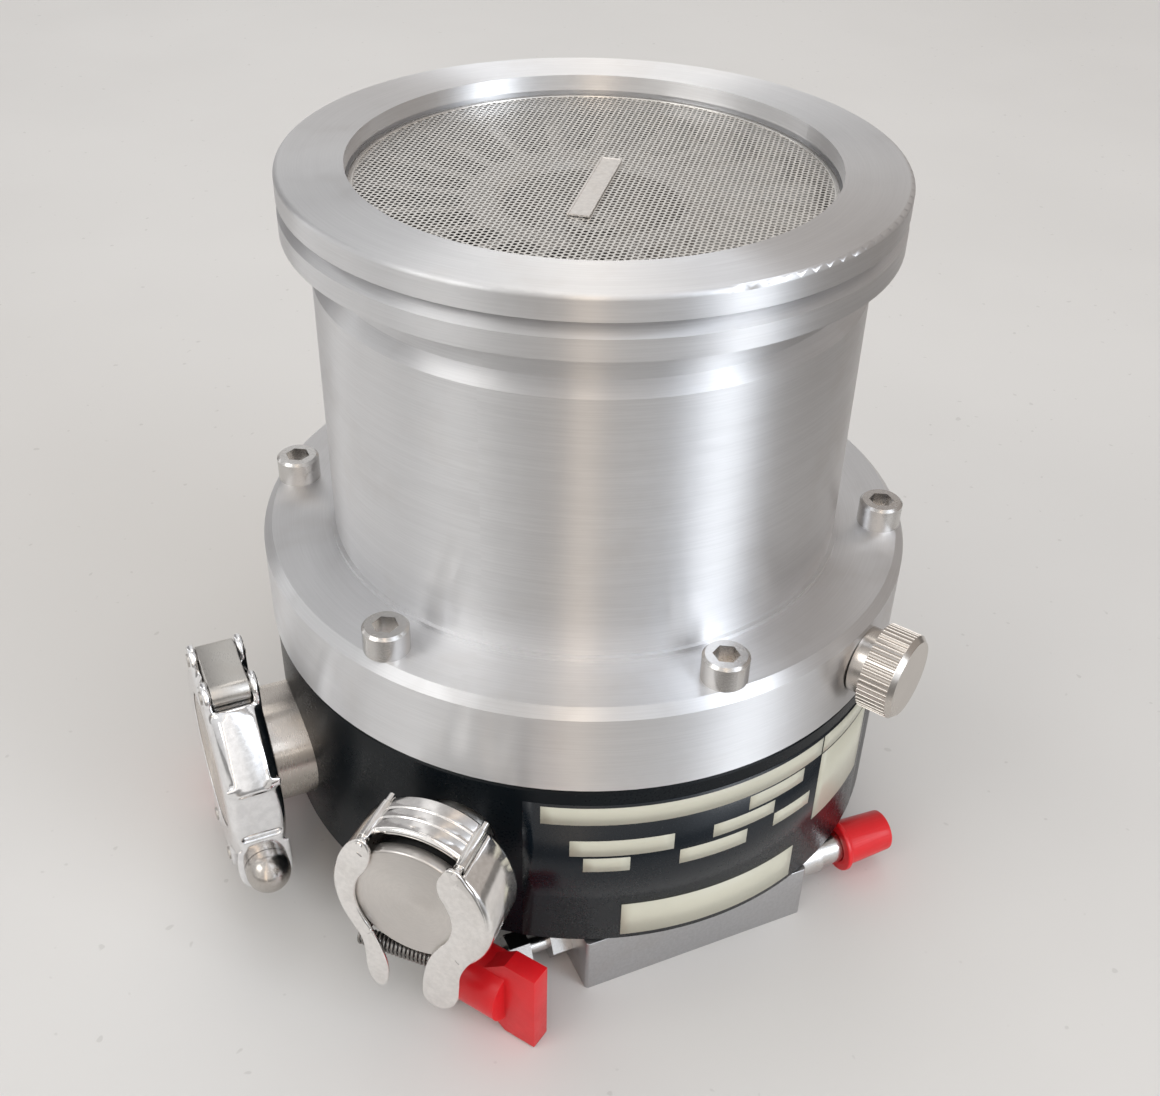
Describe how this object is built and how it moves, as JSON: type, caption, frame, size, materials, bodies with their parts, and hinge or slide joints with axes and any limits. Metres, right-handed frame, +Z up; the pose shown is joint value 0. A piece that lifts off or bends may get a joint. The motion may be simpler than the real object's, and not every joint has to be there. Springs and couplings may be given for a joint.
{
  "type": "turbomolecular vacuum pump",
  "caption": "Turbomolecular vacuum pump with a round clamped inlet flange, a blanked backing port, a blanked side port, a vent knob and red transport caps.",
  "frame": {"origin": "rotor axis where it meets the underside of the base block", "axes": "+Z up along the rotor axis, out of the inlet; -X along the backing port's axis"},
  "size_m": [0.1732, 0.1581, 0.172],
  "materials": {
    "turned_aluminium": "turned",
    "machined_aluminium": "machined",
    "black_coat": "satin",
    "satin_stainless": "satin",
    "polished_stainless": "polished",
    "bright_screw": "satin",
    "bearing_steel": "ground",
    "magnet": "coated",
    "motor_winding": "lacquered",
    "black_rubber": "matte",
    "cage_plastic": "matte",
    "red_plastic": "semi-gloss",
    "spring_steel": "dark wire",
    "screen_steel": "etched mesh"
  },
  "bodies": {
    "pump": {"casing": "turned_aluminium", "base_housing": "black_coat", "base_block": "machined_aluminium", "casing_screws": "bright_screw", "base_block_screws": "bright_screw", "casing_o_ring": "black_rubber", "inlet_screen": "screen_steel", "stator_discs": "machined_aluminium", "spacer_rings": "machined_aluminium", "motor_stator": "motor_winding", "bearing_support": "machined_aluminium", "support_screws": "bright_screw", "bearing_carrier": "machined_aluminium", "preload_ring": "bright_screw", "end_cap": "black_coat", "upper_bearing_outer": "bearing_steel", "lower_bearing_outer": "bearing_steel", "backing_port": "satin_stainless", "backing_centring_ring": "satin_stainless", "backing_o_ring": "black_rubber", "backing_blank_flange": "satin_stainless", "side_port": "polished_stainless", "side_centring_ring": "satin_stainless", "side_o_ring": "black_rubber", "side_blank_flange": "satin_stainless", "clamp_back_half": "polished_stainless", "clamp_front_half": "polished_stainless", "clamp_link": "satin_stainless", "clamp_pins": "satin_stainless", "clamp_stud": "satin_stainless", "clip_link_band": "satin_stainless", "clip_pins": "satin_stainless", "clip_spring": "spring_steel", "vent_valve_body": "satin_stainless", "front_pipe": "polished_stainless", "front_swivel": "polished_stainless", "rear_pipe": "polished_stainless", "right_spigot": "satin_stainless"},
    "rotor": {"turbine_rotor": "machined_aluminium", "rotor_shaft": "bearing_steel", "rotor_washer": "bright_screw", "rotor_bolt": "bright_screw", "shaft_nut": "bright_screw", "motor_magnet": "magnet", "upper_bearing_inner": "bearing_steel", "lower_bearing_inner": "bearing_steel"},
    "upper_cage": {"upper_bearing_cage": "cage_plastic"},
    "lower_cage": {"lower_bearing_cage": "cage_plastic"},
    "vent_stem": {"vent_stem": "bright_screw", "vent_seal": "black_rubber"},
    "vent_knob": {"vent_knob": "satin_stainless"},
    "clamp_nut": {"clamp_nut": "satin_stainless"},
    "clip_jaw_left": {"clip_jaw_left": "satin_stainless"},
    "clip_jaw_right": {"clip_jaw_right": "satin_stainless"},
    "front_wing_cap": {"front_wing_cap": "red_plastic"},
    "rear_wing_cap": {"rear_wing_cap": "red_plastic"},
    "right_cap": {"right_cap": "red_plastic"}
  },
  "joints": [
    {"name": "rotor_spin", "type": "hinge", "parent": "pump", "child": "rotor", "pos_m": [0, 0, 0.13], "axis": [0, 0, 1], "continuous": true},
    {"name": "upper_cage_spin", "type": "hinge", "parent": "pump", "child": "upper_cage", "pos_m": [0, 0, 0.13], "axis": [0, 0, 1], "continuous": true},
    {"name": "lower_cage_spin", "type": "hinge", "parent": "pump", "child": "lower_cage", "pos_m": [0, 0, 0.038], "axis": [0, 0, 1], "continuous": true},
    {"name": "vent_stem_slide", "type": "slide", "parent": "pump", "child": "vent_stem", "axis": [0.5, -0.866, 0], "range_m": [0, 0.002]},
    {"name": "vent_knob_turn", "type": "hinge", "parent": "vent_stem", "child": "vent_knob", "pos_m": [0.038, -0.06582, 0.076], "axis": [0.5, -0.866, 0], "range_deg": [0, 720]},
    {"name": "clamp_nut_turn", "type": "hinge", "parent": "pump", "child": "clamp_nut", "pos_m": [-0.0905, -0.0236, 0.0206], "axis": [0, -1, 0], "range_deg": [0, 720]},
    {"name": "clip_left_open", "type": "hinge", "parent": "pump", "child": "clip_jaw_left", "pos_m": [-0.07156, -0.05643, 0.06072], "axis": [0.7071, 0.7071, 0], "range_deg": [0, 24], "stiffness_Nm_per_rad": 0.25},
    {"name": "clip_right_open", "type": "hinge", "parent": "pump", "child": "clip_jaw_right", "pos_m": [-0.05643, -0.07156, 0.06072], "axis": [-0.7071, -0.7071, 0], "range_deg": [0, 24], "stiffness_Nm_per_rad": 0.25},
    {"name": "front_wing_cap_pull", "type": "slide", "parent": "pump", "child": "front_wing_cap", "axis": [0.5446, -0.8387, 0], "range_m": [0, 0.012]},
    {"name": "rear_wing_cap_pull", "type": "slide", "parent": "pump", "child": "rear_wing_cap", "axis": [-1, 0, 0], "range_m": [0, 0.012]},
    {"name": "right_cap_pull", "type": "slide", "parent": "pump", "child": "right_cap", "axis": [1, 0, 0], "range_m": [0, 0.014]}
  ],
  "couplings": [
    {"joint": "upper_cage_spin", "follows": "rotor_spin", "ratio": 0.39444},
    {"joint": "lower_cage_spin", "follows": "rotor_spin", "ratio": 0.39444},
    {"joint": "vent_knob_turn", "follows": "vent_stem_slide", "rad_per_m": 6283.2}
  ]
}
